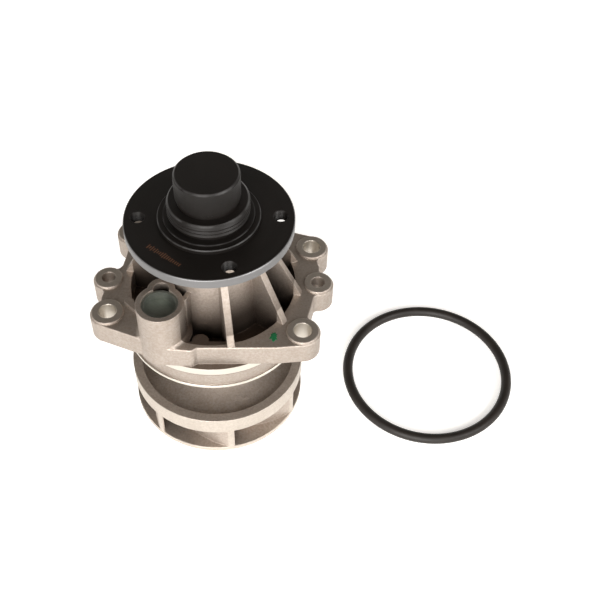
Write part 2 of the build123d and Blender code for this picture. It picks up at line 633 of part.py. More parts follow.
spring_low_z = BAND_TOP_Z + SPRING_WIRE_R
spring_h = CASE_TOP_IN_Z - BAND_TOP_Z - 2 * SPRING_WIRE_R
with BuildPart() as spring:
    with BuildLine() as spring_path:
        Helix(spring_h / SPRING_TURNS, spring_h, SPRING_R, center=(0, 0, spring_low_z))
    with BuildSketch(Plane(spring_path.line @ 0, z_dir=spring_path.line % 0)):
        Circle(SPRING_WIRE_R)
    sweep(is_frenet=True)
save(spring, "seal_spring")

# ==== face seal, rotating side: ceramic seat in a rubber cup on the shaft
turned_ring("seal_seat_ring", ((SEAT_IN_R, SEAT_FACE_Z), (SEAT_OUT_R, SEAT_FACE_Z), (SEAT_OUT_R, SEAT_BACK_Z),
                               (SEAT_IN_R, SEAT_BACK_Z)))
cup_lip_z = SEAT_FACE_Z - CUP_LIP_SINK
turned_ring("seal_seat_cup", ((SHAFT_R, cup_lip_z), (SEAT_IN_R, cup_lip_z), (SEAT_IN_R, SEAT_BACK_Z),
                              (SEAT_OUT_R, SEAT_BACK_Z), (SEAT_OUT_R, cup_lip_z), (CUP_R, cup_lip_z),
                              (CUP_R, CUP_BACK_Z), (SHAFT_R, CUP_BACK_Z)))

# ==== impeller: dished back shroud with a rim and a hub, seven swept vanes, front shroud with the inlet eye
vane_slope = tan(radians(VANE_ANGLE))
vane_line = []
for station in range(VANE_STATIONS + 1):
    radius = IMPELLER_R * (VANE_IN_R / IMPELLER_R) ** (station / VANE_STATIONS)
    vane_line.append(polar(radius, VANE_TIP_AT - degrees(log(IMPELLER_R / radius) / vane_slope)))
hub_foot_r = IMPELLER_HUB_TOP_R + HUB_FLARE
mid_r = (RECESS_R + hub_foot_r) / 2
mid_z = RECESS_Z + DISH_MID_RISE
dish_top_z = RECESS_Z + DISH_RISE
dish = ((RECESS_R, RECESS_Z), (mid_r, mid_z), (hub_foot_r, dish_top_z))
dish_under = ((IMPELLER_R, IMPELLER_BAND_Z), (mid_r, mid_z - DISH_T), (IMPELLER_HUB_R, dish_top_z - DISH_T))
dish_core = [(r, z + DISH_T / 2) for r, z in dish_under]

with BuildSketch() as vane:
    with BuildLine():
        Spline(*vane_line)
    trace(line_width=VANE_T)

with BuildPart() as impeller:
    with BuildSketch(Plane.XY.offset(IMPELLER_BASE_Z + SHROUD_T / 2)):
        with PolarLocations(0, VANE_COUNT):
            add(vane.sketch)
    extrude(amount=CUP_BACK_Z - IMPELLER_BASE_Z)
    with BuildSketch(Plane.XZ):
        with BuildLine():
            Polyline((0, dish_core[-1][1]), (0, IMPELLER_BASE_Z), (IMPELLER_R, IMPELLER_BASE_Z), dish_core[0])
            Spline(*dish_core)
            Line(dish_core[-1], (0, dish_core[-1][1]))
        make_face()
    revolve(axis=Axis.Z, mode=Mode.INTERSECT)
    with BuildSketch(Plane.XZ):
        with BuildLine():
            Polyline((SHAFT_R, CUP_BACK_Z), (SHAFT_R, IMPELLER_HUB_END_Z),
                     (IMPELLER_HUB_R, IMPELLER_HUB_END_Z), dish_under[-1])
            Spline(*dish_under)
            Polyline(dish_under[0], (IMPELLER_R, IMPELLER_RIM_TOP_Z),
                     (IMPELLER_RIM_R, IMPELLER_RIM_TOP_Z), dish[0])
            Spline(*dish)
            Polyline(dish[-1], (IMPELLER_HUB_TOP_R, CUP_BACK_Z), (SHAFT_R, CUP_BACK_Z))
        make_face()
    revolve(axis=Axis.Z)
    with BuildSketch(Plane.XZ):
        with BuildLine():
            Polyline((EYE_R + EYE_LIP_CHAMFER, IMPELLER_BASE_Z), (IMPELLER_R, IMPELLER_BASE_Z),
                     (IMPELLER_R, SHROUD_TOP_Z), (EYE_R, SHROUD_TOP_Z),
                     (EYE_R, IMPELLER_BASE_Z + EYE_LIP_CHAMFER), close=True)
        make_face()
    revolve(axis=Axis.Z)
save(impeller, "impeller")

# ==== O-ring that seals the pilot, lying beside the pump
with BuildPart() as o_ring:
    with Locations((*O_RING_AT, IMPELLER_BASE_Z + O_RING_T / 2)):
        Torus((O_RING_ID + O_RING_T) / 2, O_RING_T / 2)
save(o_ring, "o_ring")
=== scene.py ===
import json
import random
from math import cos, pi, radians, sin

import bmesh
import bpy
from mathutils import Matrix, Vector


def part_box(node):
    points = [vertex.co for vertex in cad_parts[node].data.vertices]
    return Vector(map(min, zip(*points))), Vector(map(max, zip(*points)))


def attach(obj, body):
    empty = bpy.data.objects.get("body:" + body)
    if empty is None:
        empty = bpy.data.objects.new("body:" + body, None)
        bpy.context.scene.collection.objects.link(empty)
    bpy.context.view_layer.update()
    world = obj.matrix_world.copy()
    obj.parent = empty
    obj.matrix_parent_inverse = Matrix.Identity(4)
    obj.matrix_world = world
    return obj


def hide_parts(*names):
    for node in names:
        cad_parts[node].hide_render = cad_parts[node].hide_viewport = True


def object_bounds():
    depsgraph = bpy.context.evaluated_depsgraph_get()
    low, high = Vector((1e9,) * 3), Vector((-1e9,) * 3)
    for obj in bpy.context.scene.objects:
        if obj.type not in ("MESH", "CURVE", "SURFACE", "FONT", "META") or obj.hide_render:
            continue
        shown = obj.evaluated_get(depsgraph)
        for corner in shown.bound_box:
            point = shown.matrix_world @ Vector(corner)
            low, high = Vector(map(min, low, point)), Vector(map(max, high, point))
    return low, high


bl_info = {
    "name": "Coolant pump looks",
    "version": (1, 0, 0),
    "blender": (4, 5, 0),
    "location": "3D View > Sidebar > Pump",
    "description": "Finishes, threads, marks and studio for a coolant pump",
    "category": "Object",
}

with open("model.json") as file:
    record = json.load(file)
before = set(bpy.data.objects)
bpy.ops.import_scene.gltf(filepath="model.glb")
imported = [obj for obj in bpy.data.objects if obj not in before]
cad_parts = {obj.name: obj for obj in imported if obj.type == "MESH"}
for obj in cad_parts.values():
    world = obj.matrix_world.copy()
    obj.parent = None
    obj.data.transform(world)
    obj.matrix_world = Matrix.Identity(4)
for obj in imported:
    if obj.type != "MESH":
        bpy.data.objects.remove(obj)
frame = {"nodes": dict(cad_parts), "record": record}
CAD_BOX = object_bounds()
MM = 0.001


def linear(code):
    """An sRGB hex colour as the opaque linear colour that Blender works in."""
    channels = [int(code[i:i + 2], 16) / 255 for i in (1, 3, 5)]
    return (*(c / 12.92 if c <= 0.04045 else ((c + 0.055) / 1.055) ** 2.4 for c in channels), 1.0)


def shade(colour, share):
    """The same colour, darker for a share under 1 and lighter over it."""
    return (*(channel * share for channel in colour[:3]), 1.0)


# ---- meshes: lengths in metres
WELD = 1e-6
SHARP_DEG = 32
CUT_OVER = 0.5 * MM
FAN_THREAD_Z = 44.1 * MM
FAN_THREAD_L = 6.3 * MM
FAN_STEPS = 128
HUB_TAP_L = 6.0 * MM
JACK_TAP_L = 10.6 * MM
TAP_STEPS = 24
MARK_FROM = (-17.8 * MM, -15.6 * MM, 41.3 * MM)
MARK_TO = (-6.4 * MM, -22.9 * MM, 41.3 * MM)
MARK_STROKE = 0.4 * MM
MARK_PROUD = 0.04 * MM
MARK_SHORTEST = 0.45
MARK_SEED = 4
DAB_AT = (24.2 * MM, -23.1 * MM, 8.8 * MM)
DAB_POINTS = 22
DAB_WIDTH = 0.7
DAB_THICK = 0.16 * MM
DAB_SEED = 7
# share of the dab's reach and of its thickness at each ring, from the edge inwards
DAB_RINGS = ((1.0, 0.0), (0.96, 0.35), (0.7, 0.8), (0.35, 1.0))

# ---- surfaces: radii from the shaft's axis and heights above the plate's underside, in millimetres
PILOT_R = next(m["dims"]["r_mm"] for m in frame["record"]["mounts"] if m["name"] == "housing_pilot")
LEDGE_Z = 0.0
# the strip under the pilot's land where a shadow is painted
UNDERCUT_LOW, UNDERCUT_HIGH = -4.1, -3.15
BOSS_TOP_Z = 9.6
POCKET_R = 29.5
# heights at which the painted shade in the pocket round the tower is full and where it ends
POCKET_SHADED_Z, POCKET_LIT_Z = 9.0, 26.0
IMPELLER_RIM_R = 29.5
IMPELLER_EDGE_R = 32.8
IMPELLER_RIM_Z = -40.0
FLANGE_EDGE_R = 28.8
# radius and height of the sharp rings: pilot, collar, both ends of the threaded part, nose
HUB_EDGES = ((17.4, 42.75), (15.5, 43.4), (13.6, 44.75), (13.6, 49.7), (10.7, 60.75))
# the normal's Z at which a face starts to count as level, and does so fully
LEVEL = (0.9, 0.95)
# the middle of a noise's range, where nearly all of its values lie
MIDDLE = (0.3, 0.7)
# colour of the painted shade in the castings' hollows and under their ledges
PAINTED_SHADE_COLOUR = linear("#41352c")

# ---- studio: lengths in metres
FLOOR_R = 1.1
FRONT_BOX = {"size": 0.9, "place": (-0.10, -1.05, 0.42), "target": (0.02, 0.0, 0.0),
             "colour": (1.0, 0.97, 0.94)}
SIDE_BOX = {"size": 0.5, "place": (0.85, -0.45, 0.6), "target": (0.0, 0.0, 0.0),
            "colour": (1.0, 0.98, 0.96)}
SIDE_SHARE = 0.35
WALL_TOP_DEG, CEILING_DEG = 12, 38
CAMERA_AT = (0.0436, -0.2299, 0.2699)
CAMERA_LOOK = (-0.0621, 0.6448, -0.7618)
CAMERA_ROLL_DEG = 0.31
CAMERA_SHIFT = (0.0462, 0.0078)
SENSOR_MM = 36.0
NEAREST = 0.01

# ---- sockets that share a name, by their place on the node
MIX_A, MIX_B, MIX_RESULT = 6, 7, 2
RANDOM_LOW, RANDOM_HIGH, RANDOM_SEED, RANDOM_RESULT = 2, 3, 8, 1


# ---- sizes and colours a user would change

class PumpFinishSettings(bpy.types.PropertyGroup):
    """Colours of the pump's surfaces."""
    cast: bpy.props.FloatVectorProperty(
        name="Cast aluminium", description="Lighter tone of the sand-cast housing", subtype="COLOR",
        size=4, default=linear("#b0a79f"))
    cast_stain: bpy.props.FloatVectorProperty(
        name="Casting stain", description="Darker tone that clouds the casting", subtype="COLOR",
        size=4, default=linear("#908377"))
    impeller: bpy.props.FloatVectorProperty(
        name="Impeller", description="Cast aluminium of the impeller", subtype="COLOR",
        size=4, default=linear("#c3b9b0"))
    turned: bpy.props.FloatVectorProperty(
        name="Turned aluminium", description="Bare cut aluminium of the pilot and the faces",
        subtype="COLOR", size=4, default=linear("#d4cfc5"))
    oxide: bpy.props.FloatVectorProperty(
        name="Black oxide", description="Blackened steel of the hub", subtype="COLOR",
        size=4, default=linear("#110e0c"))
    steel: bpy.props.FloatVectorProperty(
        name="Bare steel", description="Turned steel of the flange's edge", subtype="COLOR",
        size=4, default=linear("#7c7c7d"))
    plating: bpy.props.FloatVectorProperty(
        name="Zinc plating", description="Plated sheet of the chamber cup", subtype="COLOR",
        size=4, default=linear("#8b8f88"))
    rubber: bpy.props.FloatVectorProperty(
        name="Rubber", description="Moulded black rubber", subtype="COLOR",
        size=4, default=linear("#191512"))
    paint: bpy.props.FloatVectorProperty(
        name="Marking paint", description="Green dab that marks a tested pump", subtype="COLOR",
        size=4, default=linear("#14613a"))
    etching: bpy.props.FloatVectorProperty(
        name="Etched mark", description="Tarnish colour of the laser mark on the flange",
        subtype="COLOR", size=4, default=linear("#4a2f1e"))


class PumpThreadSettings(bpy.types.PropertyGroup):
    """Sizes of the cut threads."""
    fan_pitch: bpy.props.FloatProperty(
        name="Fan thread pitch", description="Rise of the fan-clutch thread in one turn", unit="LENGTH",
        default=1.5 * MM)
    fan_depth: bpy.props.FloatProperty(
        name="Fan thread depth", description="Depth of the fan-clutch thread", unit="LENGTH",
        default=0.55 * MM)
    tap_pitch: bpy.props.FloatProperty(
        name="Tapped pitch", description="Rise of the tapped holes' thread in one turn", unit="LENGTH",
        default=0.9 * MM)
    tap_depth: bpy.props.FloatProperty(
        name="Tapped depth", description="Depth of the tapped holes' thread", unit="LENGTH",
        default=0.4 * MM)


class PumpMarkSettings(bpy.types.PropertyGroup):
    """Sizes of the marks."""
    dab_size: bpy.props.FloatProperty(
        name="Dab size", description="Length of the green paint dab", unit="LENGTH", default=5.2 * MM)
    tick_count: bpy.props.IntProperty(
        name="Etched bars", description="Number of bars in the etched mark", default=17, min=2)
    tick_height: bpy.props.FloatProperty(
        name="Bar height", description="Height of a bar of the etched mark", unit="LENGTH",
        default=2.4 * MM)


class PumpStageSettings(bpy.types.PropertyGroup):
    """The studio."""
    key_power: bpy.props.FloatProperty(
        name="Key light", description="Power of the large front light", unit="POWER", default=22.0)
    horizon_level: bpy.props.FloatProperty(
        name="Surround", description="Brightness of the studio's walls", default=1.1, min=0.0)
    ceiling_level: bpy.props.FloatProperty(
        name="Ceiling", description="Brightness of the studio's dim ceiling", default=0.10, min=0.0)
    floor_glow: bpy.props.FloatProperty(
        name="Lit floor", description="Light that the translucent floor gives from below",
        default=0.5, min=0.0)
    lens: bpy.props.FloatProperty(
        name="Lens", description="Focal length of the camera", unit="CAMERA", default=58.09)


# ---- nodes

def add_node(tree, kind, inputs=None, **settings):
    """One node with its settings. Each input is linked to a socket or holds a value."""
    node = tree.nodes.new(kind)
    for key, value in settings.items():
        setattr(node, key, value)
    for key, given in (inputs or {}).items():
        if isinstance(given, bpy.types.NodeSocket):
            tree.links.new(given, node.inputs[key])
        else:
            node.inputs[key].default_value = given
    return node


def start_material(name):
    """A material with its shader, and the object's own coordinates in millimetres."""
    material = bpy.data.materials.new(name)
    material.use_nodes = True
    tree = material.node_tree
    coords = add_node(tree, "ShaderNodeTexCoord")
    scaled = add_node(tree, "ShaderNodeVectorMath", {0: coords.outputs["Object"], "Scale": 1 / MM},
                      operation="SCALE")
    return material, tree, tree.nodes["Principled BSDF"], scaled.outputs["Vector"]


def radius_and_height(tree, coords):
    """Distance from the shaft's axis, and height, both in millimetres."""
    split = add_node(tree, "ShaderNodeSeparateXYZ", {"Vector": coords})
    flat = add_node(tree, "ShaderNodeCombineXYZ", {"X": split.outputs["X"], "Y": split.outputs["Y"]})
    length = add_node(tree, "ShaderNodeVectorMath", {0: flat.outputs["Vector"]}, operation="LENGTH")
    return length.outputs["Value"], split.outputs["Z"]


def upwardness(tree):
    """1 on a level face that looks up, 0 on a wall."""
    surface = add_node(tree, "ShaderNodeNewGeometry")
    return add_node(tree, "ShaderNodeSeparateXYZ", {"Vector": surface.outputs["Normal"]}).outputs["Z"]


def reach_from(tree, coords, centre_mm):
    """Distance from an upright line through centre_mm, in millimetres."""
    away = add_node(tree, "ShaderNodeVectorMath", {0: coords, 1: centre_mm}, operation="SUBTRACT")
    flat = add_node(tree, "ShaderNodeVectorMath", {0: away.outputs["Vector"], 1: (1.0, 1.0, 0.0)},
                    operation="MULTIPLY")
    return add_node(tree, "ShaderNodeVectorMath", {0: flat.outputs["Vector"]},
                    operation="LENGTH").outputs["Value"]


def between(measure, low, high, edge):
    """The two ramps that leave only low to high of a measure."""
    return (measure, low - edge, low), (measure, high + edge, high)


def coverage(tree, areas):
    """How far a finish covers the surface, 0 to 1. An area is its strength and its ramps, each a
    measure with the values at which it is 0 and 1. Ramps multiply, and the strongest area counts."""
    covered = 0.0
    for strength, ramps in areas:
        share = strength
        for measure, bare_at, full_at in ramps:
            ramp = add_node(tree, "ShaderNodeMapRange",
                            {"Value": measure, "From Min": bare_at, "From Max": full_at})
            share = add_node(tree, "ShaderNodeMath", {0: ramp.outputs["Result"], 1: share},
                             operation="MULTIPLY").outputs["Value"]
        covered = add_node(tree, "ShaderNodeMath", {0: share, 1: covered},
                           operation="MAXIMUM").outputs["Value"]
    return covered


def patches(tree, coords, size_mm, detail, low, high, most=1.0, roughness=0.5):
    """Soft patches about size_mm across: 0 where their noise is under low, most where it is over
    high."""
    clouds = add_node(tree, "ShaderNodeTexNoise", {
        "Vector": coords, "Scale": 1 / size_mm, "Detail": detail, "Roughness": roughness})
    return add_node(tree, "ShaderNodeMapRange", {
        "Value": clouds.outputs["Fac"], "From Min": low, "From Max": high,
        "To Max": most}).outputs["Result"]


def clouded(tree, shader, share, colour, other):
    """Gives the shader one colour, clouded with another where share is high."""
    mix = add_node(tree, "ShaderNodeMix", {"Factor": share, MIX_A: colour, MIX_B: other},
                   data_type="RGBA")
    tree.links.new(mix.outputs[MIX_RESULT], shader.inputs["Base Color"])


def turning_lines(tree, radius, height, step_mm):
    """Fine cut lines left by a lathe tool, round the axis."""
    across = add_node(tree, "ShaderNodeCombineXYZ", {"X": radius, "Y": height})
    return add_node(tree, "ShaderNodeTexNoise", {
        "Vector": across.outputs["Vector"], "Scale": 1 / step_mm, "Detail": 1.0,
        "Roughness": 0.5}).outputs["Fac"]


def fine_texture(tree, shader, pattern, smoothest, roughest, depth_mm, strength):
    """One fine pattern moves the roughness between two values and gives a shallow relief."""
    rough = add_node(tree, "ShaderNodeMapRange", {
        "Value": pattern, "From Min": MIDDLE[0], "From Max": MIDDLE[1], "To Min": smoothest,
        "To Max": roughest})
    bump = add_node(tree, "ShaderNodeBump",
                    {"Height": pattern, "Distance": depth_mm * MM, "Strength": strength})
    tree.links.new(rough.outputs["Result"], shader.inputs["Roughness"])
    tree.links.new(bump.outputs["Normal"], shader.inputs["Normal"])


# ---- materials

def cast_finish(name, light, stain, turned, tool_cuts, shade_places):
    """Sand-cast aluminium, shot blasted: a fine matt grain with faint warm clouds, bare cut metal where a
    tool has faced it, and painted shade in the hollows that the last argument gives.
    Grain 0.9 mm, twice the real grit, so that it still shows."""
    material, tree, shader, coords = start_material(name)
    radius, height = radius_and_height(tree, coords)
    cut = coverage(tree, tool_cuts(tree, coords, radius, height))
    painted_shade = coverage(tree, shade_places(tree, radius, height))
    clouds = patches(tree, coords, 7.0, 4.0, 0.35, 0.8, 0.4, 0.6)
    pits = patches(tree, coords, 2.6, 2.0, 0.62, 0.72)
    grain = add_node(tree, "ShaderNodeTexNoise", {
        "Vector": coords, "Scale": 1 / 0.9, "Detail": 3.0, "Roughness": 0.65}).outputs["Fac"]
    grit = add_node(tree, "ShaderNodeMapRange", {
        "Value": grain, "From Min": 0.35, "From Max": 0.65, "To Max": 0.4}).outputs["Result"]
    skin = light
    # the last mix paints shade in the hollows that the last argument gives
    for share, over in ((clouds, stain), (grit, stain), (painted_shade, PAINTED_SHADE_COLOUR)):
        skin = add_node(tree, "ShaderNodeMix", {"Factor": share, MIX_A: skin, MIX_B: over},
                        data_type="RGBA").outputs[MIX_RESULT]
    clouded(tree, shader, cut, skin, turned)

    matt = add_node(tree, "ShaderNodeMapRange", {
        "Value": grain, "From Min": MIDDLE[0], "From Max": MIDDLE[1], "To Min": 0.50,
        "To Max": 0.62})
    gloss = add_node(tree, "ShaderNodeMath", {0: cut, 1: -0.22, 2: matt.outputs["Result"]},
                     operation="MULTIPLY_ADD")
    tree.links.new(gloss.outputs["Value"], shader.inputs["Roughness"])
    shader.inputs["Metallic"].default_value = 1.0

    pitted = add_node(tree, "ShaderNodeMath", {0: grain, 1: pits}, operation="ADD")
    uncut = add_node(tree, "ShaderNodeMath", {0: cut, 1: -0.7, 2: pitted.outputs["Value"]},
                     operation="MULTIPLY_ADD")
    soft = add_node(tree, "ShaderNodeBevel", {"Radius": 0.45 * MM}, samples=4)
    blasted = add_node(tree, "ShaderNodeBump", {
        "Height": uncut.outputs["Value"], "Distance": 0.09 * MM, "Strength": 0.55,
        "Normal": soft.outputs["Normal"]})
    lines = add_node(tree, "ShaderNodeMath",
                     {0: turning_lines(tree, radius, height, 0.35), 1: cut}, operation="MULTIPLY")
    tooled = add_node(tree, "ShaderNodeBump", {
        "Height": lines.outputs["Value"], "Distance": 0.02 * MM, "Strength": 0.4,
        "Normal": blasted.outputs["Normal"]})
    tree.links.new(tooled.outputs["Normal"], shader.inputs["Normal"])
    return material


def housing_cuts(tree, coords, radius, height):
    """The pilot's land and lip, the stud holes and the boss tops are cut."""
    areas = [(1.0, [(radius, PILOT_R - 0.3, PILOT_R - 0.1), (height, LEDGE_Z, LEDGE_Z - 0.2)])]
    for mount in frame["record"]["mounts"]:
        if mount["name"].startswith("stud_hole"):
            reach = reach_from(tree, coords, [c / MM for c in mount["pos_m"]])
            wall = mount["dims"]["r_mm"]
            areas.append((0.7, [(reach, wall + 0.2, wall + 0.1)]))
    tops = between(height, BOSS_TOP_Z - 0.05, BOSS_TOP_Z + 0.05, 0.02)
    areas.append((0.3, [*tops, (upwardness(tree), *LEVEL)]))
    return areas


def housing_painted_shade(tree, radius, height):
    """Painted shade: darker down in the pocket round the tower, on the level ledge under the plate's edge
    over the pilot, and right under the pilot's land."""
    ledge = between(height, LEDGE_Z - 0.05, LEDGE_Z + 0.05, 0.02)
    return [
        # painted shade down in the pocket round the tower
        (0.85, [(radius, POCKET_R + 0.1, POCKET_R - 0.1), (height, POCKET_LIT_Z, POCKET_SHADED_Z),
                (height, LEDGE_Z + 0.2, LEDGE_Z + 0.6)]),
        # painted shadow right under the pilot's land
        (0.6, between(height, UNDERCUT_LOW, UNDERCUT_HIGH, 0.3)),
        # painted shade on the level ledge under the plate's edge
        (0.7, [*ledge, (upwardness(tree), *LEVEL)]),
    ]


def impeller_cuts(tree, coords, radius, height):
    """The rim's outside and the edges of the shrouds are turned."""
    return [(0.35, [(radius, IMPELLER_EDGE_R - 0.1, IMPELLER_EDGE_R + 0.1)])]


def impeller_painted_shade(tree, radius, height):
    """Painted shade: darker in the dish inside the rim and down in the passages below it."""
    return [
        # painted shade in the dish inside the rim
        (0.25, [(radius, IMPELLER_RIM_R, IMPELLER_RIM_R - 0.3),
                (height, IMPELLER_RIM_Z, IMPELLER_RIM_Z + 1.0)]),
        # painted shade down in the passages below the rim
        (0.16, [(radius, IMPELLER_EDGE_R, IMPELLER_RIM_R),
                (height, IMPELLER_RIM_Z + 1.0, IMPELLER_RIM_Z)]),
    ]


def hub_finish(name, oxide, steel):
    """Turned steel with a black oxide skin, satin, with the flange's edge turned bright again after
    blackening, and the sharp rings worn to bare metal. Lines 0.5 mm apart, coarser than the real
    feed, so that they show."""
    material, tree, shader, coords = start_material(name)
    radius, height = radius_and_height(tree, coords)
    across = add_node(tree, "ShaderNodeCombineXYZ", {"X": radius, "Y": height})
    patchy = patches(tree, coords, 5.0, 3.0, 0.35, 0.65)
    areas = [(1.0, [(radius, FLANGE_EDGE_R - 0.08, FLANGE_EDGE_R)])]
    for ring_r, ring_z in HUB_EDGES:
        offset = add_node(tree, "ShaderNodeVectorMath",
                          {0: across.outputs["Vector"], 1: (ring_r, ring_z, 0.0)},
                          operation="SUBTRACT").outputs["Vector"]
        gap_squared = add_node(tree, "ShaderNodeVectorMath", {0: offset, 1: offset},
                               operation="DOT_PRODUCT").outputs["Value"]
        areas.append((0.2, [(gap_squared, 0.16, 0.02), (patchy, 0.0, 1.0)]))
    bare = coverage(tree, areas)
    tone = add_node(tree, "ShaderNodeMix", {
        "Factor": patches(tree, coords, 12.0, 3.0, *MIDDLE), MIX_A: oxide,
        MIX_B: shade(oxide, 0.7)}, data_type="RGBA")
    clouded(tree, shader, bare, tone.outputs[MIX_RESULT], steel)
    tree.links.new(bare, shader.inputs["Metallic"])
    shader.inputs["Specular IOR Level"].default_value = 0.28
    fine_texture(tree, shader, turning_lines(tree, radius, height, 0.5), 0.38, 0.48, 0.015, 0.5)
    return material


def ground_steel(name, colour, roughness):
    """Ground or drawn steel: bright, with fine lines round the axis, drawn 0.6 mm apart so that
    they show, and a faint film."""
    material, tree, shader, coords = start_material(name)
    radius, height = radius_and_height(tree, coords)
    clouded(tree, shader, patches(tree, coords, 4.0, 3.0, 0.3, 0.75), colour, shade(colour, 0.8))
    shader.inputs["Metallic"].default_value = 1.0
    lines = turning_lines(tree, radius, height, 0.6)
    fine_texture(tree, shader, lines, roughness, roughness + 0.12, 0.01, 0.4)
    return material


def moulded_rubber(name, colour):
    """Moulded nitrile rubber: near black, satin, with a faint bloom and a 0.5 mm mould grain."""
    material, tree, shader, coords = start_material(name)
    clouded(tree, shader, patches(tree, coords, 6.0, 3.0, 0.4, 0.7), colour, shade(colour, 1.5))
    shader.inputs["IOR"].default_value = 1.52
    shader.inputs["Specular IOR Level"].default_value = 0.3
    grain = add_node(tree, "ShaderNodeTexNoise", {
        "Vector": coords, "Scale": 1 / 0.5, "Detail": 2.0, "Roughness": 0.5})
    fine_texture(tree, shader, grain.outputs["Fac"], 0.42, 0.56, 0.02, 0.3)
    return material


def even_finish(name, colour, roughness):
    """Moulded nylon, lapped carbon or ceramic, or a laser's tarnish: an even colour with a faint
    cloud and a fine skin."""
    material, tree, shader, coords = start_material(name)
    clouded(tree, shader, patches(tree, coords, 3.0, 2.0, *MIDDLE), colour, shade(colour, 0.88))
    grain = add_node(tree, "ShaderNodeTexNoise", {
        "Vector": coords, "Scale": 1 / 0.4, "Detail": 2.0, "Roughness": 0.5})
    fine_texture(tree, shader, grain.outputs["Fac"], roughness, roughness + 0.1, 0.01, 0.3)
    return material


def brushed_paint(name, colour):
    """A dab of marking paint put on with a brush: satin, with darker streaks."""
    material, tree, shader, coords = start_material(name)
    streaks = patches(tree, coords, 0.8, 3.0, *MIDDLE)
    clouded(tree, shader, streaks, colour, shade(colour, 0.55))
    shader.inputs["Roughness"].default_value = 0.4
    bump = add_node(tree, "ShaderNodeBump", {"Height": streaks, "Distance": 0.03 * MM, "Strength": 0.4})
    tree.links.new(bump.outputs["Normal"], shader.inputs["Normal"])
    return material


def matt_board(name, glow):
    """Matt white board lit through from below: pale, with the faintest unevenness."""
    material, tree, shader, coords = start_material(name)
    clouded(tree, shader, patches(tree, coords, 60.0, 3.0, *MIDDLE), linear("#f4f4f3"),
            linear("#f1f1f0"))
    shader.inputs["Roughness"].default_value = 0.9
    shader.inputs["Emission Color"].default_value = linear("#fffdfa")
    shader.inputs["Emission Strength"].default_value = glow
    return material


def dress(node_names, material):
    """Gives CAD nodes a material in place of their plain one."""
    for node_name in node_names:
        mesh = frame["nodes"][node_name].data
        mesh.materials.clear()
        mesh.materials.append(material)


class PUMP_OT_castings(bpy.types.Operator):
    """Give the housing and the impeller their blasted and turned aluminium, with painted shade in their
    hollows
    """
    bl_idname = "pump.castings"
    bl_label = "Finish the castings"

    def execute(self, context):
        look = context.scene.pump_finish
        dress(["housing"], cast_finish("cast_aluminium_shot_blasted", look.cast, look.cast_stain,
                                       look.turned, housing_cuts, housing_painted_shade))
        dress(["impeller"], cast_finish("cast_aluminium_turned_rim", look.impeller, look.cast_stain,
                                        look.turned, impeller_cuts, impeller_painted_shade))
        return {"FINISHED"}


class PUMP_OT_hub(bpy.types.Operator):
    """Give the pulley hub its black oxide"""
    bl_idname = "pump.hub"
    bl_label = "Blacken the hub"

    def execute(self, context):
        look = context.scene.pump_finish
        dress(["hub_flange"], hub_finish("steel_black_oxide", look.oxide, look.steel))
        return {"FINISHED"}


class PUMP_OT_steel(bpy.types.Operator):
    """Give the shaft, the bearing and the pressed sheet pieces their steel"""
    bl_idname = "pump.steel"
    bl_label = "Finish the steel"

    def execute(self, context):
        look = context.scene.pump_finish
        dress(["chamber_plug", "dust_shield"], ground_steel("drawn_steel_zinc_plated", look.plating, 0.5))
        dress(["shaft", "bearing_outer_race", "bearing_balls", "bearing_rollers", "seal_case",
               "seal_band", "seal_spring"], ground_steel("bearing_steel_ground", linear("#c4c2bf"), 0.22))
        return {"FINISHED"}


class PUMP_OT_rubber(bpy.types.Operator):
    """Give the O-ring and the seals their rubber"""
    bl_idname = "pump.rubber"
    bl_label = "Finish the rubber"

    def execute(self, context):
        dress(["o_ring"], moulded_rubber("nitrile_rubber_moulded", context.scene.pump_finish.rubber))
        dress(["bearing_seal_front", "bearing_seal_rear", "seal_bellows", "seal_seat_cup",
               "water_slinger"], moulded_rubber("seal_rubber_moulded", linear("#1c1a19")))
        return {"FINISHED"}


class PUMP_OT_cages_and_faces(bpy.types.Operator):
    """Give the cages their nylon, and the seal's two faces their carbon and ceramic"""
    bl_idname = "pump.cages_and_faces"
    bl_label = "Finish the cages and seal faces"

    def execute(self, context):
        dress(["ball_cage", "roller_cage"], even_finish("nylon_cage_moulded", linear("#d8ccae"), 0.45))
        dress(["seal_carbon_ring"], even_finish("carbon_graphite_lapped", linear("#2b2b2d"), 0.3))
        dress(["seal_seat_ring"], even_finish("alumina_ceramic_lapped", linear("#ece6d8"), 0.15))
        return {"FINISHED"}


# ---- Geometry Nodes

def new_tree(name, inputs):
    """A Geometry Nodes tree with named inputs, and its group input and output nodes."""
    tree = bpy.data.node_groups.new(name, "GeometryNodeTree")
    tree.is_modifier = True
    tree.interface.new_socket("Geometry", in_out="INPUT", socket_type="NodeSocketGeometry")
    tree.interface.new_socket("Geometry", in_out="OUTPUT", socket_type="NodeSocketGeometry")
    for label, kind, value in inputs:
        socket = tree.interface.new_socket(label, in_out="INPUT", socket_type=kind)
        if value is not None:
            socket.default_value = value
    return tree, tree.nodes.new("NodeGroupInput"), tree.nodes.new("NodeGroupOutput")


def finish_tree(tree, instances, given, result):
    """Realize Instances and Set Material, as every tree here ends."""
    real = add_node(tree, "GeometryNodeRealizeInstances", {"Geometry": instances})
    painted = add_node(tree, "GeometryNodeSetMaterial",
                       {"Geometry": real.outputs["Geometry"], "Material": given.outputs["Material"]})
    tree.links.new(painted.outputs["Geometry"], result.inputs["Geometry"])


def plain_copy(source, name):
    """A new object that holds source's evaluated mesh."""
    bpy.context.view_layer.update()
    shown = source.evaluated_get(bpy.context.evaluated_depsgraph_get())
    made = bpy.data.objects.new(name, bpy.data.meshes.new_from_object(shown))
    bpy.context.scene.collection.objects.link(made)
    return made


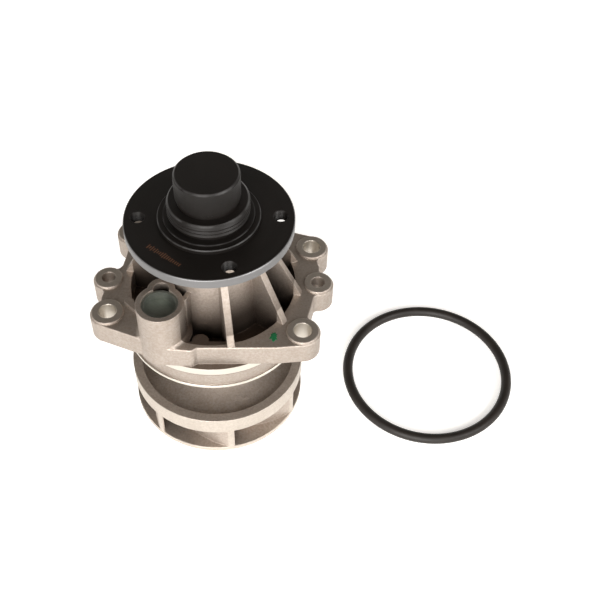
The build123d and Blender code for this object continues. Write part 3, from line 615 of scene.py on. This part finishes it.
def grown(tree, points, values, name):
    """The tree's result on a mesh of points, as a plain object with no modifier."""
    seed_mesh = bpy.data.meshes.new(name + "_points")
    seed_mesh.from_pydata(points, [], [])
    holder = bpy.data.objects.new(name + "_points", seed_mesh)
    bpy.context.scene.collection.objects.link(holder)
    modifier = holder.modifiers.new("nodes", "NODES")
    modifier.node_group = tree
    for item in tree.interface.items_tree:
        if item.in_out == "INPUT" and item.name in values:
            modifier[item.identifier] = values[item.name]
    made = plain_copy(holder, name)
    bpy.data.objects.remove(holder)
    return made


# ---- cut threads

def thread_tree():
    """A diamond bar wound into a helix at each point, to cut a thread into a wall."""
    tree, given, result = new_tree("wound_thread", (
        ("Wall radius", "NodeSocketFloat", 0.0), ("Pitch", "NodeSocketFloat", 1.0 * MM),
        ("Depth", "NodeSocketFloat", 0.4 * MM), ("Length", "NodeSocketFloat", 5.0 * MM),
        ("Steps per turn", "NodeSocketInt", 48), ("Material", "NodeSocketMaterial", None)))
    turns = add_node(tree, "ShaderNodeMath",
                     {0: given.outputs["Length"], 1: given.outputs["Pitch"]}, operation="DIVIDE")
    spiral = add_node(tree, "GeometryNodeCurveSpiral", {
        "Resolution": given.outputs["Steps per turn"], "Rotations": turns.outputs["Value"],
        "Start Radius": given.outputs["Wall radius"], "End Radius": given.outputs["Wall radius"],
        "Height": given.outputs["Length"]})
    upright = add_node(tree, "GeometryNodeSetCurveNormal", {"Curve": spiral.outputs["Curve"]},
                       mode="Z_UP")
    diamond = add_node(tree, "GeometryNodeCurvePrimitiveCircle",
                       {"Resolution": 4, "Radius": given.outputs["Depth"]})
    bar = add_node(tree, "GeometryNodeCurveToMesh", {
        "Curve": upright.outputs["Curve"], "Profile Curve": diamond.outputs["Curve"],
        "Fill Caps": True})
    placed = add_node(tree, "GeometryNodeInstanceOnPoints",
                      {"Points": given.outputs["Geometry"], "Instance": bar.outputs["Mesh"]})
    finish_tree(tree, placed.outputs["Instances"], given, result)
    return tree


def merged_copy(node_name, name):
    """A CAD node's mesh with its loose triangles joined."""
    form = bmesh.new()
    form.from_mesh(frame["nodes"][node_name].data)
    bmesh.ops.remove_doubles(form, verts=form.verts, dist=WELD)
    mesh = bpy.data.meshes.new(name)
    form.to_mesh(mesh)
    form.free()
    if "custom_normal" in mesh.attributes:
        mesh.attributes.remove(mesh.attributes["custom_normal"])
    made = bpy.data.objects.new(name, mesh)
    bpy.context.scene.collection.objects.link(made)
    return made


def cut_threads(node_name, piece_name, body, cuts):
    """Cuts threads into a copy of a CAD node, which then stands for the node."""
    blank = merged_copy(node_name, piece_name + "_blank")
    cutters = [grown(thread_tree(), points, values, piece_name + "_cutter") for points, values in cuts]
    for cutter in cutters:
        modifier = blank.modifiers.new("thread", "BOOLEAN")
        modifier.operation = "DIFFERENCE"
        modifier.solver = "EXACT"
        modifier.object = cutter
    piece = plain_copy(blank, piece_name)
    piece.data.shade_smooth()
    piece.data.set_sharp_from_angle(angle=radians(SHARP_DEG))
    finish = frame["nodes"][node_name].data.materials[0]
    piece.data.materials.clear()
    piece.data.materials.append(finish)
    for spare in [blank, *cutters]:
        bpy.data.objects.remove(spare)
    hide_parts(node_name)
    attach(piece, body)


def mount_points(prefix, low_z):
    """Where the record's tapped holes with this name start, at height low_z."""
    return [(m["pos_m"][0], m["pos_m"][1], low_z) for m in frame["record"]["mounts"]
            if m["name"].startswith(prefix)]


def mount_radius(name):
    """The radius of one of the record's mounts, in metres."""
    for mount in frame["record"]["mounts"]:
        if mount["name"] == name:
            return mount["dims"]["r_mm"] * MM
    raise ValueError(f"the record has no mount named {name}")


class PUMP_OT_threads(bpy.types.Operator):
    """Cut the fan-clutch thread and the tapped holes"""
    bl_idname = "pump.threads"
    bl_label = "Cut the threads"

    def execute(self, context):
        sizes = context.scene.pump_thread
        flange_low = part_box("hub_flange")[0].z
        fan = {"Wall radius": mount_radius("fan_thread"), "Pitch": sizes.fan_pitch,
               "Depth": sizes.fan_depth, "Length": FAN_THREAD_L, "Steps per turn": FAN_STEPS}
        tap = {"Wall radius": mount_radius("pulley_screw_1"), "Pitch": sizes.tap_pitch,
               "Depth": sizes.tap_depth, "Steps per turn": TAP_STEPS}
        cut_threads("hub_flange", "hub_threaded", "rotor", (
            ([(0.0, 0.0, FAN_THREAD_Z)], fan),
            (mount_points("pulley_screw", flange_low), {**tap, "Length": HUB_TAP_L})))
        cut_threads("housing", "housing_tapped", "housing", (
            (mount_points("jack_screw", -CUT_OVER), {**tap, "Length": JACK_TAP_L}),))
        return {"FINISHED"}


# ---- marks

def tick_tree():
    """A row of thin bars of uneven height."""
    tree, given, result = new_tree("etched_bars", (
        ("Count", "NodeSocketInt", 12), ("Start", "NodeSocketVector", None),
        ("Step", "NodeSocketVector", None), ("Turn", "NodeSocketVector", None),
        ("Bar", "NodeSocketVector", None), ("Seed", "NodeSocketInt", MARK_SEED),
        ("Material", "NodeSocketMaterial", None)))
    row = add_node(tree, "GeometryNodeMeshLine", {
        "Count": given.outputs["Count"], "Start Location": given.outputs["Start"],
        "Offset": given.outputs["Step"]})
    bar = add_node(tree, "GeometryNodeMeshCube", {"Size": given.outputs["Bar"]})
    uneven = add_node(tree, "FunctionNodeRandomValue", {
        RANDOM_LOW: MARK_SHORTEST, RANDOM_HIGH: 1.0, RANDOM_SEED: given.outputs["Seed"]},
        data_type="FLOAT")
    scale = add_node(tree, "ShaderNodeCombineXYZ",
                     {"X": 1.0, "Y": uneven.outputs[RANDOM_RESULT], "Z": 1.0})
    placed = add_node(tree, "GeometryNodeInstanceOnPoints", {
        "Points": row.outputs["Mesh"], "Instance": bar.outputs["Mesh"],
        "Rotation": given.outputs["Turn"], "Scale": scale.outputs["Vector"]})
    finish_tree(tree, placed.outputs["Instances"], given, result)
    return tree


class PUMP_OT_etched_bars(bpy.types.Operator):
    """Add the etched bars on the flange"""
    bl_idname = "pump.etched_bars"
    bl_label = "Etch the flange"

    def execute(self, context):
        sizes = context.scene.pump_mark
        first = Vector(MARK_FROM)
        step = (Vector(MARK_TO) - first) / (sizes.tick_count - 1)
        turn = step.to_2d().angle_signed(Vector((1.0, 0.0)))
        etched = even_finish("laser_tarnish_on_oxide", context.scene.pump_finish.etching, 0.5)
        ticks = grown(tick_tree(), [(0.0, 0.0, 0.0)], {
            "Count": sizes.tick_count, "Start": first, "Step": step, "Turn": (0.0, 0.0, turn),
            "Bar": (MARK_STROKE, sizes.tick_height, MARK_PROUD), "Seed": MARK_SEED,
            "Material": etched}, "etched_bars")
        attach(ticks, "rotor")
        return {"FINISHED"}


def dab_rings(form, size):
    """The dab's rings of points, ragged at the edge and rising inwards."""
    draw = random.Random(DAB_SEED)
    ragged = [draw.uniform(0.5, 1.0) for _ in range(DAB_POINTS)]
    rings = []
    for share, rise in DAB_RINGS:
        ring = []
        for index, reach in enumerate(ragged):
            angle = 2 * pi * index / DAB_POINTS
            uneven = 1 + (reach - 1) * share
            offset = Vector((cos(angle) * DAB_WIDTH * size / 2, sin(angle) * size / 2, 0.0))
            lift = Vector((0.0, 0.0, rise * DAB_THICK))
            ring.append(form.verts.new(Vector(DAB_AT) + offset * share * uneven + lift))
        rings.append(ring)
    return rings


class PUMP_OT_paint_dab(bpy.types.Operator):
    """Put the green paint dab on the plate"""
    bl_idname = "pump.paint_dab"
    bl_label = "Dab the paint"

    def execute(self, context):
        form = bmesh.new()
        rings = dab_rings(form, context.scene.pump_mark.dab_size)
        for lower, upper in zip(rings, rings[1:]):
            for index in range(DAB_POINTS):
                after = (index + 1) % DAB_POINTS
                form.faces.new((lower[index], lower[after], upper[after], upper[index]))
        form.faces.new(rings[-1])
        form.faces.new(list(reversed(rings[0])))
        bmesh.ops.recalc_face_normals(form, faces=form.faces)
        mesh = bpy.data.meshes.new("paint_dab")
        form.to_mesh(mesh)
        form.free()
        mesh.shade_smooth()
        mesh.materials.append(brushed_paint("green_marking_paint", context.scene.pump_finish.paint))
        dab = bpy.data.objects.new("paint_dab", mesh)
        context.scene.collection.objects.link(dab)
        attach(dab, "housing")
        return {"FINISHED"}


# ---- stage

def build_floor(floor_z, glow):
    """A pale seamless floor, a wide disc of matt board."""
    mesh = bpy.data.meshes.new("studio_floor")
    form = bmesh.new()
    bmesh.ops.create_circle(form, cap_ends=True, cap_tris=False, radius=FLOOR_R, segments=96)
    bmesh.ops.translate(form, verts=form.verts, vec=(0.0, 0.0, floor_z))
    form.to_mesh(mesh)
    form.free()
    floor = bpy.data.objects.new("studio_floor", mesh)
    bpy.context.scene.collection.objects.link(floor)
    mesh.materials.append(matt_board("matt_white_board", glow))


def area_light(name, power, size, place, target, colour):
    """A square soft light at place, turned to target."""
    data = bpy.data.lights.new(name, "AREA")
    data.energy = power
    data.size = size
    data.color = colour
    light = bpy.data.objects.new(name, data)
    bpy.context.scene.collection.objects.link(light)
    aim = (Vector(target) - Vector(place)).to_track_quat("-Z", "Y")
    light.matrix_world = Matrix.Translation(Vector(place)) @ aim.to_matrix().to_4x4()


def build_world(horizon, ceiling):
    """Bright walls low down all round, and a dim warm ceiling."""
    world = bpy.data.worlds.new("studio")
    world.use_nodes = True
    tree = world.node_tree
    coords = add_node(tree, "ShaderNodeTexCoord")
    split = add_node(tree, "ShaderNodeSeparateXYZ", {"Vector": coords.outputs["Generated"]})
    climb = add_node(tree, "ShaderNodeMapRange", {
        "Value": split.outputs["Z"], "From Min": sin(radians(WALL_TOP_DEG)),
        "From Max": sin(radians(CEILING_DEG))})
    sky = add_node(tree, "ShaderNodeMix", {
        "Factor": climb.outputs["Result"], MIX_A: shade(linear("#fbf8f4"), horizon),
        MIX_B: shade(linear("#f2ddc6"), ceiling)}, data_type="RGBA")
    tree.links.new(sky.outputs[MIX_RESULT], tree.nodes["Background"].inputs["Color"])
    bpy.context.scene.world = world


def build_camera(lens):
    """The camera, looking down on the pump from its front."""
    data = bpy.data.cameras.new("camera")
    data.lens = lens
    data.sensor_width = SENSOR_MM
    data.shift_x, data.shift_y = CAMERA_SHIFT
    data.clip_start = NEAREST
    camera = bpy.data.objects.new("camera", data)
    bpy.context.scene.collection.objects.link(camera)
    turn = Vector(CAMERA_LOOK).normalized().to_track_quat("-Z", "Y").to_matrix().to_4x4()
    roll = Matrix.Rotation(radians(CAMERA_ROLL_DEG), 4, "Z")
    camera.matrix_world = Matrix.Translation(Vector(CAMERA_AT)) @ turn @ roll
    bpy.context.scene.camera = camera


class PUMP_OT_stage(bpy.types.Operator):
    """Build the floor, the lights and the camera"""
    bl_idname = "pump.stage"
    bl_label = "Set up the studio"

    def execute(self, context):
        stage = context.scene.pump_stage
        build_floor(CAD_BOX[0][2], stage.floor_glow)
        area_light("front_softbox", stage.key_power, **FRONT_BOX)
        area_light("side_softbox", stage.key_power * SIDE_SHARE, **SIDE_BOX)
        build_world(stage.horizon_level, stage.ceiling_level)
        build_camera(stage.lens)
        context.scene.view_settings.view_transform = "Standard"
        return {"FINISHED"}


class PUMP_PT_panel(bpy.types.Panel):
    """Lists the steps that dress the pump"""
    bl_label = "Coolant pump"
    bl_idname = "PUMP_PT_panel"
    bl_space_type = "VIEW_3D"
    bl_region_type = "UI"
    bl_category = "Pump"

    def draw(self, context):
        for step in STEPS:
            self.layout.operator(step.bl_idname)
        for name, _ in GROUPS:
            settings = getattr(context.scene, name)
            box = self.layout.box()
            for key in settings.__annotations__:
                box.prop(settings, key)


STEPS = (
    PUMP_OT_castings, PUMP_OT_hub, PUMP_OT_steel, PUMP_OT_rubber, PUMP_OT_cages_and_faces,
    PUMP_OT_threads, PUMP_OT_etched_bars, PUMP_OT_paint_dab, PUMP_OT_stage,
)
GROUPS = (
    ("pump_finish", PumpFinishSettings),
    ("pump_thread", PumpThreadSettings),
    ("pump_mark", PumpMarkSettings),
    ("pump_stage", PumpStageSettings),
)


def register():
    """Registers the settings, the steps and the panel."""
    for name, group in GROUPS:
        bpy.utils.register_class(group)
        setattr(bpy.types.Scene, name, bpy.props.PointerProperty(type=group))
    for step in STEPS:
        bpy.utils.register_class(step)
    bpy.utils.register_class(PUMP_PT_panel)


def unregister():
    """Removes what register added."""
    bpy.utils.unregister_class(PUMP_PT_panel)
    for step in reversed(STEPS):
        bpy.utils.unregister_class(step)
    for name, group in reversed(GROUPS):
        delattr(bpy.types.Scene, name)
        bpy.utils.unregister_class(group)


def main():
    """Runs the steps in order."""
    register()
    bpy.ops.pump.castings()
    bpy.ops.pump.hub()
    bpy.ops.pump.steel()
    bpy.ops.pump.rubber()
    bpy.ops.pump.cages_and_faces()
    bpy.ops.pump.threads()
    bpy.ops.pump.etched_bars()
    bpy.ops.pump.paint_dab()
    bpy.ops.pump.stage()


if __name__ == "__main__":
    main()
